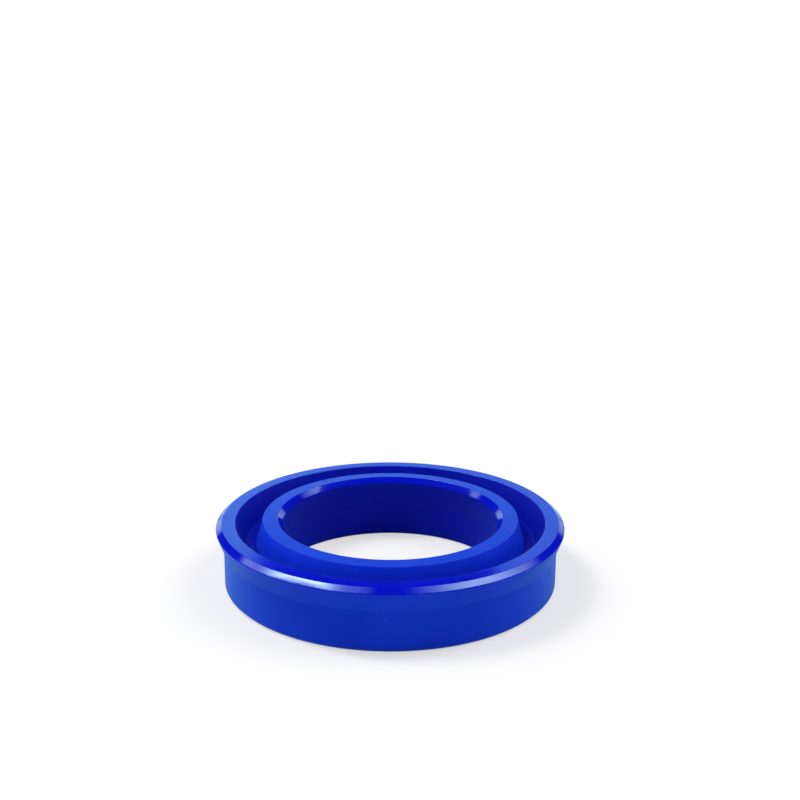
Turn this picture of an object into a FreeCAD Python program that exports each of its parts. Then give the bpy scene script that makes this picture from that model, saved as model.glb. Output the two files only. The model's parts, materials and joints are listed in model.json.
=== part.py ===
import FreeCAD, Part
import math
import os

# A U-cup seal for a hydraulic rod: one ring of solid polyurethane, moulded in one piece,
# with the ends of its two lips trimmed after moulding.
# The ring lies on its heel, the flat back face, with both lips up. The origin is the centre
# of the heel face, on the seal's axis, and +Z runs up that axis towards the lips.
# Sizes are in millimetres. Radii are measured from the axis and heights from the heel face.

# The three sizes that such a seal is ordered by: rod, housing bore and height.
ROD_DIAMETER = 40.0
HOUSING_DIAMETER = 60.0
SEAL_HEIGHT = 12.0

# The heel is the solid half of the ring. It clears the rod and the housing by a small gap
# on the radius, and both of its edges are moulded with a small bevel.
HEEL_ROD_GAP = 0.2
HEEL_HOUSING_GAP = 0.15
HEEL_BORE_BEVEL = 0.5
HEEL_RIM_BEVEL = 0.6

# The creases are where the straight walls of the heel end and the lips start to lean away.
OUTER_CREASE_HEIGHT = 7.2
INNER_CREASE_HEIGHT = 6.2
CREASE_ROUND = 1.5

# The outer lip leans out to a sealing edge that stands past the housing's wall until the
# seal is pressed in. From that edge a trimmed bevel runs in and up to the lip's flat end.
# The outer lip is a little shorter than the inner one, whose end reaches the seal's height.
OUTER_LIP_SHORTFALL = 0.43
OUTER_LIP_SQUEEZE = 1.2
OUTER_LIP_BEVEL_WIDTH = 1.07
OUTER_LIP_BEVEL_HEIGHT = 0.8

# The inner lip does the same towards the rod. Its end slopes down a little to the groove.
INNER_LIP_SQUEEZE = 0.7
INNER_LIP_BEVEL_WIDTH = 0.9
INNER_LIP_BEVEL_HEIGHT = 1.0
INNER_LIP_END_SLOPE = 0.18

# The groove between the lips takes the pressure that spreads them. It narrows towards a flat
# floor on the seal's mean radius, and its mouth lies a little further out than its floor.
# Its widths are shares of the section, the space on the radius between rod and housing, so
# that both lips keep their strength. The floor's corners are rounded by a share of its width.
GROOVE_DEPTH = 4.6
GROOVE_MOUTH_SHARE = 0.49
GROOVE_MOUTH_SHIFT_SHARE = 0.03
GROOVE_FLOOR_SHARE = 0.18
GROOVE_FLOOR_ROUND_SHARE = 1 / 3

# The axis that the ring is turned about.
AXIS_POINT = FreeCAD.Vector(0, 0, 0)
AXIS_DIRECTION = FreeCAD.Vector(0, 0, 1)


def corner(radius, height, rounding=0.0):
    """One corner of the cross-section, and how far it is rounded (0 leaves it sharp)."""
    return FreeCAD.Vector(radius, 0, height), rounding


def rounding_arc(before, here, after, rounding):
    """The arc that rounds the corner at here, tangent to the lines to before and after."""
    to_before = (before - here).normalize()
    to_after = (after - here).normalize()
    half_angle = to_before.getAngle(to_after) / 2
    setback = rounding / math.tan(half_angle)
    to_centre = (to_before + to_after).normalize()
    depth = rounding / math.sin(half_angle) - rounding
    start = here + to_before * setback
    middle = here + to_centre * depth
    end = here + to_after * setback
    return Part.Arc(start, middle, end).toShape(), start, end


def rounded_outline(corners):
    """A closed wire through the corners in order, each corner rounded by its own radius."""
    arcs = []
    starts = []
    ends = []
    for index, (here, rounding) in enumerate(corners):
        before = corners[index - 1][0]
        after = corners[(index + 1) % len(corners)][0]
        arc, start, end = None, here, here
        if rounding > 0:
            arc, start, end = rounding_arc(before, here, after, rounding)
        arcs.append(arc)
        starts.append(start)
        ends.append(end)
    edges = []
    for index, arc in enumerate(arcs):
        if arc is not None:
            edges.append(arc)
        following = starts[(index + 1) % len(corners)]
        edges.append(Part.LineSegment(ends[index], following).toShape())
    return Part.Wire(edges)


def heel_radii():
    """The heel's bore radius and outside radius."""
    bore = ROD_DIAMETER / 2 + HEEL_ROD_GAP
    rim = HOUSING_DIAMETER / 2 - HEEL_HOUSING_GAP
    return bore, rim


def heel_rim_corners():
    """The bevel between the heel's flat face and the seal's outside."""
    rim = heel_radii()[1]
    return [
        corner(rim - HEEL_RIM_BEVEL, 0),
        corner(rim, HEEL_RIM_BEVEL),
    ]


def outer_lip_corners():
    """The outer lip, from its crease over the sealing edge and bevel to its flat end."""
    rim = heel_radii()[1]
    sealing_edge = HOUSING_DIAMETER / 2 + OUTER_LIP_SQUEEZE
    lip_end = SEAL_HEIGHT - OUTER_LIP_SHORTFALL
    return [
        corner(rim, OUTER_CREASE_HEIGHT, CREASE_ROUND),
        corner(sealing_edge, lip_end - OUTER_LIP_BEVEL_HEIGHT),
        corner(sealing_edge - OUTER_LIP_BEVEL_WIDTH, lip_end),
    ]


def groove_corners():
    """The groove, from its outer edge down to the floor and up to its inner edge."""
    section = (HOUSING_DIAMETER - ROD_DIAMETER) / 2
    floor_middle = (HOUSING_DIAMETER + ROD_DIAMETER) / 4
    floor_width = section * GROOVE_FLOOR_SHARE
    floor_height = SEAL_HEIGHT - GROOVE_DEPTH
    floor_round = floor_width * GROOVE_FLOOR_ROUND_SHARE
    mouth_middle = floor_middle + section * GROOVE_MOUTH_SHIFT_SHARE
    mouth_width = section * GROOVE_MOUTH_SHARE
    return [
        corner(mouth_middle + mouth_width / 2, SEAL_HEIGHT - OUTER_LIP_SHORTFALL),
        corner(floor_middle + floor_width / 2, floor_height, floor_round),
        corner(floor_middle - floor_width / 2, floor_height, floor_round),
        corner(mouth_middle - mouth_width / 2, SEAL_HEIGHT - INNER_LIP_END_SLOPE),
    ]


def inner_lip_corners():
    """The inner lip, from its highest edge over the bevel and sealing edge to its crease."""
    bore = heel_radii()[0]
    sealing_edge = ROD_DIAMETER / 2 - INNER_LIP_SQUEEZE
    return [
        corner(sealing_edge + INNER_LIP_BEVEL_WIDTH, SEAL_HEIGHT),
        corner(sealing_edge, SEAL_HEIGHT - INNER_LIP_BEVEL_HEIGHT),
        corner(bore, INNER_CREASE_HEIGHT, CREASE_ROUND),
    ]


def heel_bore_corners():
    """The bevel between the seal's bore and the heel's flat face."""
    bore = heel_radii()[0]
    return [
        corner(bore, HEEL_BORE_BEVEL),
        corner(bore + HEEL_BORE_BEVEL, 0),
    ]


def seal_section():
    """The seal's cross-section, as a flat face on one side of the axis."""
    outside = heel_rim_corners() + outer_lip_corners()
    inside = inner_lip_corners() + heel_bore_corners()
    return Part.Face(rounded_outline(outside + groove_corners() + inside))


def seal_ring():
    """The whole seal: its cross-section turned once round the axis."""
    return seal_section().revolve(AXIS_POINT, AXIS_DIRECTION, 360)


os.makedirs("parts", exist_ok=True)
ring = seal_ring()
ring.exportStep("parts/seal_ring.step")
print("seal_ring", ring.ShapeType, "valid", ring.isValid(), "volume %.1f mm3" % ring.Volume)
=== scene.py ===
import json
import math
from collections import namedtuple

import bpy
from mathutils import Euler, Matrix, Vector


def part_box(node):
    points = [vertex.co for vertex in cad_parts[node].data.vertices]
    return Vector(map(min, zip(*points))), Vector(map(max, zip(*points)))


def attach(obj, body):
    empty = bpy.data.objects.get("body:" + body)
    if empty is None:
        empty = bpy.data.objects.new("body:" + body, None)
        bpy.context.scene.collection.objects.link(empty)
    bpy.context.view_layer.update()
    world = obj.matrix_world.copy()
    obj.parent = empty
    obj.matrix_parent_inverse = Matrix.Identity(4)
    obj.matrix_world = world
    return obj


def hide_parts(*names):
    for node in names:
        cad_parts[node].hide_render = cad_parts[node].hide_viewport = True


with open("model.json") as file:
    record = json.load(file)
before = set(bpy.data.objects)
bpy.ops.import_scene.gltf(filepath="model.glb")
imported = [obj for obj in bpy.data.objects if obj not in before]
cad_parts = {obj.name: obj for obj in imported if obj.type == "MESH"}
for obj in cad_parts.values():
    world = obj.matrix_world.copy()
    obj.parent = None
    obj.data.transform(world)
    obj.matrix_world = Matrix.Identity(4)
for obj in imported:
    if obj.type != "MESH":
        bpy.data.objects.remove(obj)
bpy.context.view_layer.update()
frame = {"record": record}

# The seal is one ring of solid polyurethane, shot into a mould with its heel, its two lips and
# the groove between them in one piece. The ring is drawn here as the mould leaves it: a loop
# at the heel is pulled round the cross-section, corner by corner, and closed on itself.
MM = 0.001
ROUND_STEPS = 288
SAME_PLACE = 0.001 * MM

mounts = {mount["name"]: mount for mount in frame["record"]["mounts"]}
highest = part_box("seal_ring")[1]
SEAL_HEIGHT = highest.z
BORE_RADIUS = mounts["rod_bore"]["dims"]["r_mm"] * MM
RIM_RADIUS = mounts["housing_seat"]["dims"]["r_mm"] * MM
HEEL_BORE_BEVEL = 0.5 * MM
HEEL_RIM_BEVEL = 0.6 * MM

OUTER_EDGE_RADIUS = highest.x
OUTER_LIP_HEIGHT = SEAL_HEIGHT - 0.43 * MM
OUTER_LIP_BEVEL_WIDTH = 1.07 * MM
OUTER_LIP_BEVEL_HEIGHT = 0.8 * MM
OUTER_CREASE_HEIGHT = 7.2 * MM

INNER_EDGE_RADIUS = 19.3 * MM
INNER_LIP_BEVEL_WIDTH = 0.9 * MM
INNER_LIP_BEVEL_HEIGHT = 1.0 * MM
INNER_LIP_END_SLOPE = 0.18 * MM
INNER_CREASE_HEIGHT = 6.2 * MM

# The groove narrows from its mouth to its floor: each has an inner and an outer radius.
GROOVE_FLOOR_HEIGHT = SEAL_HEIGHT - 4.6 * MM
GROOVE_FLOOR_RADII = (24.1 * MM, 25.9 * MM)
GROOVE_MOUTH_RADII = (22.85 * MM, 27.75 * MM)

# How far each kind of corner is rounded: where the mould breaks an edge, where a lip starts to
# lean, in the groove's floor, at a sealing edge, and where the knife leaves an end's edge.
MOULDED_ROUND = 0.12 * MM
CREASE_ROUND = 1.5 * MM
GROOVE_FLOOR_ROUND = 0.6 * MM
SEALING_EDGE_ROUND = 0.2 * MM
TRIMMED_ROUND = 0.12 * MM

Corner = namedtuple("Corner", "radius height rounding steps")

heel_corners = [
    Corner(BORE_RADIUS + HEEL_BORE_BEVEL, 0, MOULDED_ROUND, 3),
    Corner(RIM_RADIUS - HEEL_RIM_BEVEL, 0, MOULDED_ROUND, 3),
    Corner(RIM_RADIUS, HEEL_RIM_BEVEL, MOULDED_ROUND, 3),
]
outer_lip_corners = [
    Corner(RIM_RADIUS, OUTER_CREASE_HEIGHT, CREASE_ROUND, 8),
    Corner(OUTER_EDGE_RADIUS, OUTER_LIP_HEIGHT - OUTER_LIP_BEVEL_HEIGHT, SEALING_EDGE_ROUND, 4),
    Corner(OUTER_EDGE_RADIUS - OUTER_LIP_BEVEL_WIDTH, OUTER_LIP_HEIGHT, TRIMMED_ROUND, 3),
]
groove_corners = [
    Corner(GROOVE_MOUTH_RADII[1], OUTER_LIP_HEIGHT, TRIMMED_ROUND, 3),
    Corner(GROOVE_FLOOR_RADII[1], GROOVE_FLOOR_HEIGHT, GROOVE_FLOOR_ROUND, 6),
    Corner(GROOVE_FLOOR_RADII[0], GROOVE_FLOOR_HEIGHT, GROOVE_FLOOR_ROUND, 6),
    Corner(GROOVE_MOUTH_RADII[0], SEAL_HEIGHT - INNER_LIP_END_SLOPE, TRIMMED_ROUND, 3),
]
inner_lip_corners = [
    Corner(INNER_EDGE_RADIUS + INNER_LIP_BEVEL_WIDTH, SEAL_HEIGHT, TRIMMED_ROUND, 3),
    Corner(INNER_EDGE_RADIUS, SEAL_HEIGHT - INNER_LIP_BEVEL_HEIGHT, SEALING_EDGE_ROUND, 4),
    Corner(BORE_RADIUS, INNER_CREASE_HEIGHT, CREASE_ROUND, 8),
    Corner(BORE_RADIUS, HEEL_BORE_BEVEL, MOULDED_ROUND, 3),
]
outline = heel_corners + outer_lip_corners + groove_corners + inner_lip_corners

bpy.ops.object.select_all(action="DESELECT")
bpy.ops.mesh.primitive_circle_add(vertices=ROUND_STEPS, radius=outline[0].radius)
seal = bpy.context.object
seal.name = "moulded_seal"
seal.data.name = "moulded_seal"

bpy.ops.object.mode_set(mode="EDIT")
bpy.ops.mesh.select_mode(type="EDGE")
bpy.ops.mesh.select_all(action="SELECT")
for here, there in zip(outline, outline[1:]):
    spread = there.radius / here.radius
    bpy.ops.mesh.extrude_region_move()
    bpy.ops.transform.resize(value=(spread, spread, 1), center_override=(0, 0, 0))
    bpy.ops.transform.translate(value=(0, 0, there.height - here.height))
bpy.ops.mesh.select_all(action="DESELECT")
bpy.ops.mesh.select_non_manifold()
bpy.ops.mesh.bridge_edge_loops()
bpy.ops.mesh.select_all(action="SELECT")
bpy.ops.mesh.normals_make_consistent(inside=False)
bpy.ops.object.mode_set(mode="OBJECT")


def select_loop(piece, corner):
    """Selects the edges of the piece that run round it at this corner of the section."""
    places = piece.data.vertices
    at_corner = [
        abs(math.hypot(place.co.x, place.co.y) - corner.radius) < SAME_PLACE
        and abs(place.co.z - corner.height) < SAME_PLACE
        for place in places
    ]
    for part in (places, piece.data.edges, piece.data.polygons):
        part.foreach_set("select", [False] * len(part))
    for edge in piece.data.edges:
        edge.select = at_corner[edge.vertices[0]] and at_corner[edge.vertices[1]]


def half_turn(index):
    """Half of the angle by which the section's outline turns at this corner."""
    before, here, after = outline[index - 1], outline[index], outline[(index + 1) % len(outline)]
    coming = Vector((here.radius - before.radius, here.height - before.height))
    going = Vector((after.radius - here.radius, after.height - here.height))
    return coming.angle(going) / 2


for index, corner in enumerate(outline):
    select_loop(seal, corner)
    bpy.ops.object.mode_set(mode="EDIT")
    bpy.ops.mesh.bevel(
        offset_type="OFFSET",
        offset=corner.rounding * math.tan(half_turn(index)),
        segments=corner.steps,
        affect="EDGES",
        clamp_overlap=False,
    )
    bpy.ops.object.mode_set(mode="OBJECT")

bpy.ops.object.shade_smooth()
even_shading = seal.modifiers.new("even_shading", "WEIGHTED_NORMAL")
even_shading.keep_sharp = True
bpy.ops.object.modifier_apply(modifier=even_shading.name)

# The moulded skin is satin: the mould's walls are spark-eroded, which leaves a fine even grain,
# and the pigment is stirred into the polyurethane, so the blue drifts a little from place to place.
# Three faint specks of dust stick to it, two on the front of the wall and one in the groove.
NOISE_REACH = (0.3, 0.7)
DRIFT_SIZE = 9 * MM
GRAIN_SIZE = 0.22 * MM
GRAIN_DEPTH = 0.016 * MM
GRAIN_ROUGHNESS = (0.36, 0.46)
SKIN_BLUES = ((0.0026, 0.020, 0.43), (0.0034, 0.025, 0.48))
SKIN_GLINT = (0.3, 0.7, 1)
SKIN_SHEEN = (0.1, 0.6, 1)

Speck = namedtuple("Speck", "place size")
SPECK_BLUE = (0.012, 0.055, 0.56)
SPECKS = (
    Speck(Vector((-0.65, -29.84, 5.76)) * MM, 0.36 * MM),
    Speck(Vector((-1.82, -29.79, 6.98)) * MM, 0.26 * MM),
    Speck(Vector((-5.49, -22.45, 10.89)) * MM, 0.32 * MM),
)


def feed(tree, socket, value):
    """Feeds an input with another node's output, or sets it to a colour, a place or a number."""
    if isinstance(value, bpy.types.NodeSocket):
        tree.links.new(value, socket)
    elif socket.type == "RGBA":
        socket.default_value = (*value, 1)
    else:
        socket.default_value = value


def calculated(tree, operation, first, second=0.0):
    """A sum, a product or another result of two values."""
    step = tree.nodes.new("ShaderNodeMath")
    step.operation = operation
    feed(tree, step.inputs[0], first)
    feed(tree, step.inputs[1], second)
    return step.outputs["Value"]


def mapped(tree, value, reach, to, kind="LINEAR"):
    """Maps a value that runs over a reach, a pair of numbers, onto another pair."""
    span = tree.nodes.new("ShaderNodeMapRange")
    span.interpolation_type = kind
    feed(tree, span.inputs["Value"], value)
    span.inputs["From Min"].default_value, span.inputs["From Max"].default_value = reach
    span.inputs["To Min"].default_value, span.inputs["To Max"].default_value = to
    return span.outputs["Result"]


def eased(tree, value, reach, to):
    """Maps a value in the same way, but starts and ends softly."""
    return mapped(tree, value, reach, to, kind="SMOOTHSTEP")


def mixed(tree, factor, first, second):
    """Mixes two colours by a factor."""
    mix = tree.nodes.new("ShaderNodeMix")
    mix.data_type = "RGBA"
    feed(tree, mix.inputs["Factor"], factor)
    feed(tree, mix.inputs["A"], first)
    feed(tree, mix.inputs["B"], second)
    return mix.outputs["Result"]


def distance(tree, place, point=(0, 0, 0), axes=(1, 1, 1)):
    """How far a place is from a point, counted along the given axes only."""
    kept = tree.nodes.new("ShaderNodeVectorMath")
    kept.operation = "MULTIPLY"
    feed(tree, kept.inputs[0], place)
    feed(tree, kept.inputs[1], axes)
    between = tree.nodes.new("ShaderNodeVectorMath")
    between.operation = "DISTANCE"
    feed(tree, between.inputs[0], kept.outputs["Vector"])
    feed(tree, between.inputs[1], point)
    return between.outputs["Value"]


def noise(tree, place, size, detail):
    """A noise whose lumps are about this size."""
    lumps = tree.nodes.new("ShaderNodeTexNoise")
    feed(tree, lumps.inputs["Vector"], place)
    feed(tree, lumps.inputs["Scale"], 1 / size)
    feed(tree, lumps.inputs["Detail"], detail)
    return lumps.outputs["Fac"]


def new_finish(name, blues, specks=()):
    """A material whose blue drifts under its specks, and its tree, shader and place."""
    material = bpy.data.materials.new(name)
    material.use_nodes = True
    tree = material.node_tree
    shader = tree.nodes["Principled BSDF"]
    place = tree.nodes.new("ShaderNodeTexCoord").outputs["Object"]
    drift = mapped(tree, noise(tree, place, DRIFT_SIZE, detail=2), NOISE_REACH, (0, 1))
    colour = mixed(tree, drift, *blues)
    for speck in specks:
        near_speck = eased(tree, distance(tree, place, speck.place), (0, speck.size), (1, 0))
        colour = mixed(tree, near_speck, colour, SPECK_BLUE)
    feed(tree, shader.inputs["Base Color"], colour)
    return material, tree, shader, place


def roughen(tree, shader, pattern, roughness, strength, depth):
    """Lets a pattern vary the roughness and raise the surface by up to its depth."""
    feed(tree, shader.inputs["Roughness"], mapped(tree, pattern, NOISE_REACH, roughness))
    relief = tree.nodes.new("ShaderNodeBump")
    feed(tree, relief.inputs["Height"], pattern)
    feed(tree, relief.inputs["Strength"], strength)
    feed(tree, relief.inputs["Distance"], depth)
    feed(tree, shader.inputs["Normal"], relief.outputs["Normal"])


def moulded(name, blues, sheen):
    """The moulded polyurethane, with its specks, its grain and this much of a sheen."""
    material, tree, shader, place = new_finish(name, blues, SPECKS)
    grain = noise(tree, place, GRAIN_SIZE, detail=3)
    roughen(tree, shader, grain, GRAIN_ROUGHNESS, strength=0.4, depth=GRAIN_DEPTH)
    feed(tree, shader.inputs["Specular IOR Level"], 0.07)
    feed(tree, shader.inputs["Specular Tint"], SKIN_GLINT)
    feed(tree, shader.inputs["Sheen Weight"], sheen)
    feed(tree, shader.inputs["Sheen Roughness"], 0.5)
    feed(tree, shader.inputs["Sheen Tint"], SKIN_SHEEN)
    return material


skin = moulded("moulded_polyurethane", SKIN_BLUES, sheen=0.18)

# The bore, and the groove's floor and outer wall, are shaped by the mould's cores. Their blue is
# painted deeper and darker than the outside's, as painted shade in these hollows, and the skin
# hardly shines there. The groove's inner wall is painted a brighter blue than the outside, as
# painted light for the light that bounces round the groove, and it shines less.
PAINTED_SHADE_CORE_BLUES = ((0.0010, 0.0040, 0.29), (0.0014, 0.0055, 0.34))
# Painted light: the groove wall's blue is brighter than the skin's, for the light bounced round the
# groove.
PAINTED_LIGHT_GROOVE_BLUES = ((0.0040, 0.025, 0.60), (0.0048, 0.031, 0.66))
painted_shade_core = moulded("painted_shade_core_polyurethane", PAINTED_SHADE_CORE_BLUES, sheen=0.02)
painted_light_groove = moulded("painted_light_groove_polyurethane", PAINTED_LIGHT_GROOVE_BLUES, sheen=0.06)

# The lips' ends are cut after moulding: a knife runs round the turning ring. It leaves the outer
# lip's end and both bevels glossy, with hair-fine turning marks that follow the cut.
CUT_BLUES = ((0.0010, 0.0042, 0.41), (0.0014, 0.0056, 0.46))
CUT_GLINT = (0.66, 1, 0.95)
CUT_ROUGHNESS = (0.05, 0.12)
TURNING_MARK_PITCH = 0.22 * MM
TURNING_MARK_LENGTH = 14 * MM
TURNING_MARK_DEPTH = 0.004 * MM

trimmed, tree, shader, place = new_finish("trimmed_polyurethane", CUT_BLUES)
split = tree.nodes.new("ShaderNodeSeparateXYZ")
feed(tree, split.inputs["Vector"], place)
across_marks = distance(tree, place, axes=(1, 1, 0))
stretch = TURNING_MARK_LENGTH / TURNING_MARK_PITCH
stretched = tree.nodes.new("ShaderNodeCombineXYZ")
feed(tree, stretched.inputs["X"], split.outputs["X"])
feed(tree, stretched.inputs["Y"], split.outputs["Y"])
feed(tree, stretched.inputs["Z"], calculated(tree, "MULTIPLY", across_marks, stretch))
marks = noise(tree, stretched.outputs["Vector"], TURNING_MARK_LENGTH, detail=3)
roughen(tree, shader, marks, CUT_ROUGHNESS, strength=0.5, depth=TURNING_MARK_DEPTH)
feed(tree, shader.inputs["Specular IOR Level"], 0.5)
feed(tree, shader.inputs["Specular Tint"], CUT_GLINT)

# How far up, from 0 to 1, a cut face looks at least, and the groove's inner wall at most.
LEAST_CUT_RISE = 0.3
MOST_WALL_RISE = 0.5
# Two of these blues are painted: the cores' darker blue is painted shade, the groove wall's
# brighter blue is painted light.
finishes = (skin, painted_shade_core, painted_light_groove, trimmed)


def finish_of(face):
    """Which material a face of the seal has, by its place in the section: a finish, or a blue
    painted with shade or light.
    """
    from_axis = math.hypot(face.center.x, face.center.y)
    above_outer_edge = face.center.z > OUTER_LIP_HEIGHT - OUTER_LIP_BEVEL_HEIGHT
    outer_end = above_outer_edge and from_axis > GROOVE_MOUTH_RADII[1]
    inner_bevel = from_axis < INNER_EDGE_RADIUS + INNER_LIP_BEVEL_WIDTH
    in_bore = from_axis < BORE_RADIUS + HEEL_BORE_BEVEL
    in_groove = face.center.z > GROOVE_FLOOR_HEIGHT - MOULDED_ROUND
    if face.normal.z > LEAST_CUT_RISE and (outer_end or inner_bevel):
        return trimmed
    # Painted shade: the groove's floor and outer wall get the darker blue.
    if in_groove and GROOVE_FLOOR_RADII[0] < from_axis < GROOVE_MOUTH_RADII[1]:
        return painted_shade_core
    # Painted shade: the bore gets the darker blue too.
    if in_bore and face.normal.z < LEAST_CUT_RISE:
        return painted_shade_core
    # Painted light: the groove's inner wall gets the brighter blue.
    near_side = GROOVE_MOUTH_RADII[0] < from_axis < GROOVE_FLOOR_RADII[0]
    if in_groove and near_side and face.normal.z < MOST_WALL_RISE:
        return painted_light_groove
    return skin


for finish in finishes:
    seal.data.materials.append(finish)
for face in seal.data.polygons:
    face.material_index = finishes.index(finish_of(face))

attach(seal, "root")
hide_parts("seal_ring")

# The table top is plain and pale. It shows the ring's soft shadow close by, and further off it
# turns into the same white as the backdrop, so that no edge of it is seen.
TABLE_RADIUS = 3
TABLE_WHITE = (0.72, 0.72, 0.72)
TABLE_MIRRORED = (0.45, 0.7, 0.8)
TABLE_GLOW = (0.55, 1)
SHADOW_REACH = (60 * MM, 160 * MM)
bpy.ops.mesh.primitive_circle_add(vertices=64, radius=TABLE_RADIUS, fill_type="NGON")
table = bpy.context.object
table.name = "table_top"
table_paint = bpy.data.materials.new("table_top")
table_paint.use_nodes = True
tree = table_paint.node_tree
shader = tree.nodes["Principled BSDF"]
rays = tree.nodes.new("ShaderNodeLightPath").outputs
paint = mixed(tree, rays["Is Glossy Ray"], TABLE_WHITE, TABLE_MIRRORED)
feed(tree, shader.inputs["Base Color"], paint)
feed(tree, shader.inputs["Roughness"], 0.9)
feed(tree, shader.inputs["Specular IOR Level"], 0)
from_ring = distance(tree, tree.nodes.new("ShaderNodeTexCoord").outputs["Object"])
glow = eased(tree, from_ring, SHADOW_REACH, TABLE_GLOW)
white = tree.nodes.new("ShaderNodeEmission")
blend = tree.nodes.new("ShaderNodeMixShader")
feed(tree, blend.inputs["Fac"], calculated(tree, "MULTIPLY", glow, rays["Is Camera Ray"]))
feed(tree, blend.inputs[1], shader.outputs["BSDF"])
feed(tree, blend.inputs[2], white.outputs["Emission"])
feed(tree, tree.nodes["Material Output"].inputs["Surface"], blend.outputs["Shader"])
table.data.materials.append(table_paint)

# Two soft boxes light the ring from the left and the right, the left one brighter. Each is lit
# most near its middle, fades to its ends, and is turned so that the outer bevel mirrors it.
BOX_DISTANCE = 0.6
BOX_LENGTH = 0.72


def soft_box(name, azimuth, elevation, along, width, brightness, steps):
    """A soft box that faces the ring from this azimuth (0 in front, right positive).

    The steps are places along it, from 0 to 1, and how bright it is at each of them.
    """
    turn, lift = math.radians(azimuth), math.radians(elevation)
    outwards = math.cos(lift)
    towards = Vector((math.sin(turn) * outwards, -math.cos(turn) * outwards, math.sin(lift)))
    side = (Vector(along) - Vector(along).dot(towards) * towards).normalized()
    upright = towards.cross(side)
    lamp = bpy.data.lights.new(name, "AREA")
    lamp.shape = "RECTANGLE"
    lamp.size = BOX_LENGTH
    lamp.size_y = width
    lamp.energy = brightness * BOX_LENGTH * width * math.pi
    lamp.use_nodes = True
    tree = lamp.node_tree
    surface = tree.nodes.new("ShaderNodeNewGeometry")
    on_box = tree.nodes.new("ShaderNodeSeparateXYZ")
    feed(tree, on_box.inputs["Vector"], surface.outputs["Parametric"])
    fading = tree.nodes.new("ShaderNodeValToRGB")
    ramp = fading.color_ramp
    ramp.interpolation = "B_SPLINE"
    for end in ramp.elements:
        end.color = (0, 0, 0, 1)
    for step, light in steps:
        ramp.elements.new(step).color = (light, light, light, 1)
    feed(tree, fading.inputs["Fac"], on_box.outputs["X"])
    feed(tree, tree.nodes["Emission"].inputs["Strength"], fading.outputs["Color"])
    stand = bpy.data.objects.new(name, lamp)
    stand.matrix_world = Matrix((side, upright, towards)).transposed().to_4x4()
    stand.location = towards * BOX_DISTANCE
    bpy.context.scene.collection.objects.link(stand)


soft_box(
    "left_soft_box",
    azimuth=-104,
    elevation=57.5,
    along=(0.598, -0.648, 0.471),
    width=0.1,
    brightness=50,
    steps=(
        (0.06, 0),
        (0.1, 0.05),
        (0.16, 0.07),
        (0.31, 0.01),
        (0.46, 0.5),
        (0.61, 1),
        (0.75, 0.03),
        (0.9, 0.05),
    ),
)
soft_box(
    "right_soft_box",
    azimuth=104,
    elevation=58,
    along=(0.605, 0.644, -0.467),
    width=0.18,
    brightness=9.2,
    steps=(
        (0.08, 0.05),
        (0.23, 0.45),
        (0.38, 1),
        (0.53, 0.9),
        (0.67, 0.5),
        (0.82, 0.2),
        (0.92, 0.06),
        (0.95, 0),
    ),
)

# The room is lit evenly, more from the level of the ring and from its two sides than from above.
# The ring's glossy faces mirror a white backdrop behind it, brighter on the left, with a dark gap
# in its middle, and little else of the room. The camera sees plain white all round.
WHITE = (1, 1, 1)
ROOM_LIGHT = (1.15, 0.18)
SIDE_LIGHT = (0.72, 1.5)
MIRRORED_ROOM = 0.008
BACKDROP_LIGHT = (1.22, 0.9)
LOW_BACKDROP_TINT = (0.9, 1.15, 0.95)
BACKDROP_TINT = (0.36, 0.79, 1)

# Places in the room are directions from the ring. Their parts to the right, to the back and up
# run from -1 to 1, and each change of light is spread from the first value to the second.
ROOM_HEIGHTS = (0, 0.9)
ROOM_SIDES = (0, 0.85)
BACKDROP_START = (0.76, 0.86)
BACKDROP_TOP = (0.78, 0.86)
BACKDROP_TOP_SLOPE = 1.5
BACKDROP_MIDDLE = (-0.1, 0.1)
TINT_HEIGHTS = (0.16, 0.32)
DARK_GAP = (-0.02, 0, 0.45)
DARK_GAP_EDGE = (0.105, 0.113)

world = bpy.context.scene.world or bpy.data.worlds.new("studio")
bpy.context.scene.world = world
world.use_nodes = True
tree = world.node_tree
room = tree.nodes["Background"]
rays = tree.nodes.new("ShaderNodeLightPath").outputs
direction = tree.nodes.new("ShaderNodeTexCoord").outputs["Generated"]
split = tree.nodes.new("ShaderNodeSeparateXYZ")
feed(tree, split.inputs["Vector"], direction)
rightwards, backwards, upwards = split.outputs
from_middle = calculated(tree, "ABSOLUTE", rightwards)

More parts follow.
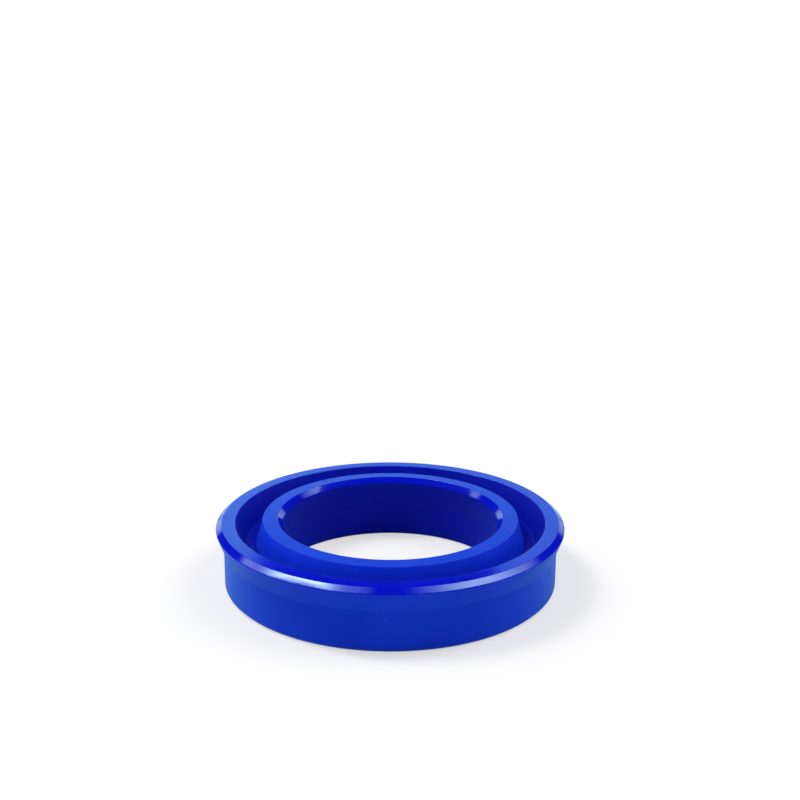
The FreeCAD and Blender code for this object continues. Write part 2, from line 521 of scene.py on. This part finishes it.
from_above = eased(tree, upwards, ROOM_HEIGHTS, ROOM_LIGHT)
from_sides = eased(tree, from_middle, ROOM_SIDES, SIDE_LIGHT)
room_light = calculated(tree, "MULTIPLY", from_above, from_sides)

# The backdrop's upper edge slopes down to both sides.
steepened = calculated(tree, "MULTIPLY", upwards, BACKDROP_TOP_SLOPE)
top = calculated(tree, "ADD", steepened, from_middle)
from_gap = distance(tree, direction, DARK_GAP, axes=(1, 0, 1))
backdrop = eased(tree, rightwards, BACKDROP_MIDDLE, BACKDROP_LIGHT)
for limit in (
    eased(tree, backwards, BACKDROP_START, (0, 1)),
    eased(tree, top, BACKDROP_TOP, (1, 0)),
    eased(tree, from_gap, DARK_GAP_EDGE, (0, 1)),
):
    backdrop = calculated(tree, "MULTIPLY", backdrop, limit)
mirrored = calculated(tree, "ADD", backdrop, MIRRORED_ROOM)
change = calculated(tree, "SUBTRACT", mirrored, room_light)
change = calculated(tree, "MULTIPLY", rays["Is Glossy Ray"], change)
strength = calculated(tree, "ADD", room_light, change)
strength = calculated(tree, "MAXIMUM", strength, rays["Is Camera Ray"])
feed(tree, room.inputs["Strength"], strength)
higher_up = eased(tree, upwards, TINT_HEIGHTS, (0, 1))
tint = mixed(tree, higher_up, LOW_BACKDROP_TINT, BACKDROP_TINT)
feed(tree, room.inputs["Color"], mixed(tree, rays["Is Glossy Ray"], WHITE, tint))

# The camera looks down at the ring from about 23 cm away and a hand's width above it, through a
# short telephoto lens, so that the ring's near side looks only a little larger than its far side.
CAMERA_TILT = math.radians(16.17)
CAMERA_ROLL = 0.005
RING_FROM_CAMERA = Vector((-1.778, -32.146, -228.205)) * MM
camera = bpy.data.objects.new("camera", bpy.data.cameras.new("camera"))
camera.data.sensor_width = 36
camera.data.lens = 56.25
camera.data.clip_start = 0.01
tilted = Euler((math.pi / 2 - CAMERA_TILT, 0, 0)).to_matrix()
turned = tilted @ Euler((0, 0, CAMERA_ROLL)).to_matrix()
camera.rotation_euler = turned.to_euler()
camera.location = -(turned @ RING_FROM_CAMERA)
bpy.context.scene.collection.objects.link(camera)
bpy.context.scene.camera = camera
bpy.context.scene.view_settings.view_transform = "Standard"
